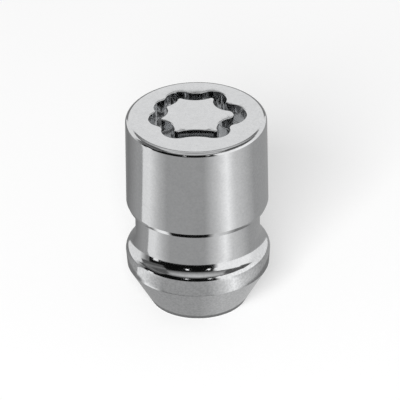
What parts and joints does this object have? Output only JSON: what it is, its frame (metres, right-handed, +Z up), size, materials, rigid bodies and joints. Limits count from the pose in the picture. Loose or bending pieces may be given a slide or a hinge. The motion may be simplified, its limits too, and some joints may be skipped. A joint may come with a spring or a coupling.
{
  "type": "locking wheel nut",
  "caption": "Round chromed locking wheel nut with a closed top, a lobed key groove, a waist, a flanged conical seat and a blind threaded bore.",
  "frame": {"origin": "on the nut's axis, at the flat face of the seat end that it stands on", "axes": "+Z up the nut's axis to the closed top, +X towards the widest lobe of the key groove within about 9 degrees"},
  "size_m": [0.0212, 0.0212, 0.0306],
  "materials": {
    "chrome": "polished"
  },
  "bodies": {
    "root": {"locking_nut": "chrome"}
  },
  "joints": []
}
